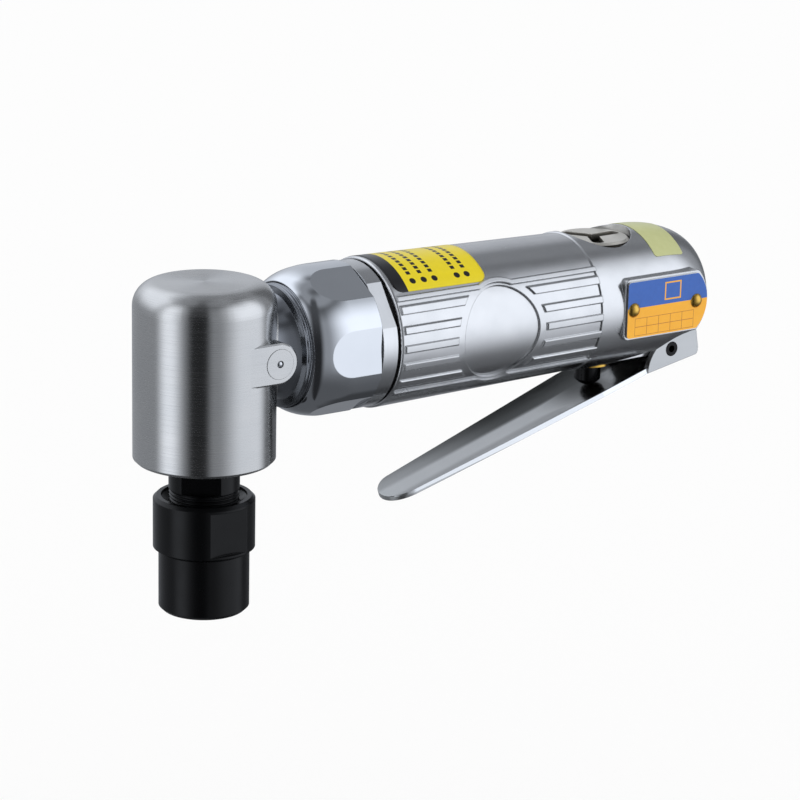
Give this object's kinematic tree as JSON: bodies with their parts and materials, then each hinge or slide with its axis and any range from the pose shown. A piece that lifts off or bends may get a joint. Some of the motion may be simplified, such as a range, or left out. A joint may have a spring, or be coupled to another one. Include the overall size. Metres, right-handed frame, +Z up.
{
  "type": "right angle die grinder",
  "caption": "Right angle air die grinder: upright head with collet nut, barrel grip with raised bars, hinged throttle lever below and a slotted air regulator on top.",
  "frame": {"origin": "centre of the collet's mouth, on the lower face of the collet nut", "axes": "+Z up along the spindle, away from the working end; +X along the barrel toward the air inlet; +Y to the side without the name plate"},
  "size_m": [0.1529, 0.0365, 0.076],
  "materials": {
    "satin_steel": "satin",
    "polished_chrome": "polished",
    "cast_alloy": "polished cast",
    "pressed_steel": "satin",
    "black_oxide": "dark satin",
    "machined_steel": "machined",
    "bearing_steel": "polished",
    "brass": "machined",
    "sintered_bronze": "matte",
    "black_rubber": "matte",
    "vane_composite": "matte",
    "printed_plate": "satin"
  },
  "bodies": {
    "casing": {"motor_housing": "cast_alloy", "angle_head": "satin_steel", "coupling_nut": "polished_chrome", "lock_ring": "satin_steel", "front_gasket": "black_rubber", "front_sleeve": "machined_steel", "grease_fitting": "satin_steel", "grease_ball": "bearing_steel", "bearing_retainer": "machined_steel", "name_plate": "printed_plate", "plate_rivets": "brass", "air_inlet_bushing": "machined_steel", "inlet_screen": "brass", "exhaust_silencers": "sintered_bronze", "cylinder_liner": "machined_steel", "front_end_plate": "machined_steel", "rear_end_plate": "machined_steel", "liner_pin": "machined_steel", "wave_washer": "machined_steel", "valve_bushing": "brass", "plunger_seal": "black_rubber", "regulator_pin": "machined_steel", "lever_pin": "black_oxide", "pinion_spacer": "machined_steel", "pinion_circlip": "black_oxide", "valve_spring": "machined_steel", "lower_bearing_outer": "bearing_steel", "upper_bearing_outer": "bearing_steel", "pinion_front_bearing_outer": "bearing_steel", "pinion_rear_bearing_outer": "bearing_steel", "rotor_front_bearing_outer": "bearing_steel", "rotor_rear_bearing_outer": "bearing_steel"},
    "motor_shaft": {"rotor": "machined_steel", "rotor_vanes": "vane_composite", "bevel_pinion": "machined_steel", "pinion_front_bearing_inner": "bearing_steel", "pinion_rear_bearing_inner": "bearing_steel", "rotor_front_bearing_inner": "bearing_steel", "rotor_rear_bearing_inner": "bearing_steel"},
    "rotor_balls": {"rotor_front_bearing_balls": "bearing_steel", "rotor_rear_bearing_balls": "bearing_steel"},
    "pinion_balls": {"pinion_front_bearing_balls": "bearing_steel", "pinion_rear_bearing_balls": "bearing_steel"},
    "spindle": {"spindle": "black_oxide", "bevel_gear": "machined_steel", "gear_key": "machined_steel", "gear_circlip": "black_oxide", "lower_bearing_inner": "bearing_steel", "upper_bearing_inner": "bearing_steel"},
    "lower_balls": {"lower_bearing_balls": "bearing_steel"},
    "upper_balls": {"upper_bearing_balls": "bearing_steel"},
    "collet": {"collet": "machined_steel"},
    "collet_nut": {"collet_nut": "black_oxide"},
    "lever": {"throttle_lever": "pressed_steel"},
    "plunger": {"valve_plunger": "black_oxide", "throttle_valve": "black_rubber"},
    "regulator": {"air_regulator": "polished_chrome", "regulator_seal": "black_rubber"}
  },
  "joints": [
    {"name": "rotor_spin", "type": "hinge", "parent": "casing", "child": "motor_shaft", "pos_m": [0, 0, 0.05855], "axis": [1, 0, 0], "continuous": true},
    {"name": "rotor_balls_roll", "type": "hinge", "parent": "casing", "child": "rotor_balls", "pos_m": [0, 0, 0.05855], "axis": [1, 0, 0], "continuous": true},
    {"name": "pinion_balls_roll", "type": "hinge", "parent": "casing", "child": "pinion_balls", "pos_m": [0, 0, 0.05855], "axis": [1, 0, 0], "continuous": true},
    {"name": "spindle_spin", "type": "hinge", "parent": "casing", "child": "spindle", "pos_m": [0, 0, 0], "axis": [0, 0, 1], "continuous": true},
    {"name": "lower_balls_roll", "type": "hinge", "parent": "casing", "child": "lower_balls", "pos_m": [0, 0, 0], "axis": [0, 0, 1], "continuous": true},
    {"name": "upper_balls_roll", "type": "hinge", "parent": "casing", "child": "upper_balls", "pos_m": [0, 0, 0], "axis": [0, 0, 1], "continuous": true},
    {"name": "collet_slide", "type": "slide", "parent": "spindle", "child": "collet", "axis": [0, 0, 1], "range_m": [-0.0015, 0]},
    {"name": "collet_nut_turn", "type": "hinge", "parent": "collet", "child": "collet_nut", "pos_m": [0, 0, 0], "axis": [0, 0, 1], "range_deg": [-540, 0]},
    {"name": "lever_pivot", "type": "hinge", "parent": "casing", "child": "lever", "pos_m": [0.12648, 0, 0.04535], "axis": [0, 1, 0], "range_deg": [0, 12], "stiffness_Nm_per_rad": 0.3, "springref_deg": -17.19},
    {"name": "plunger_slide", "type": "slide", "parent": "casing", "child": "plunger", "axis": [0, 0, 1], "range_m": [0, 0.0042], "deforming": ["valve_spring"]},
    {"name": "regulator_turn", "type": "hinge", "parent": "casing", "child": "regulator", "pos_m": [0.10848, 0, 0.05855], "axis": [0, 0, 1], "range_deg": [0, 90]}
  ],
  "couplings": [
    {"joint": "rotor_balls_roll", "follows": "rotor_spin", "ratio": 0.36667},
    {"joint": "pinion_balls_roll", "follows": "rotor_spin", "ratio": 0.4},
    {"joint": "spindle_spin", "follows": "rotor_spin", "ratio": 0.75},
    {"joint": "lower_balls_roll", "follows": "rotor_spin", "ratio": 0.3},
    {"joint": "upper_balls_roll", "follows": "rotor_spin", "ratio": 0.28125},
    {"joint": "collet_nut_turn", "follows": "collet_slide", "rad_per_m": 6283.2},
    {"joint": "plunger_slide", "follows": "lever_pivot", "m_per_rad": 0.018604}
  ]
}
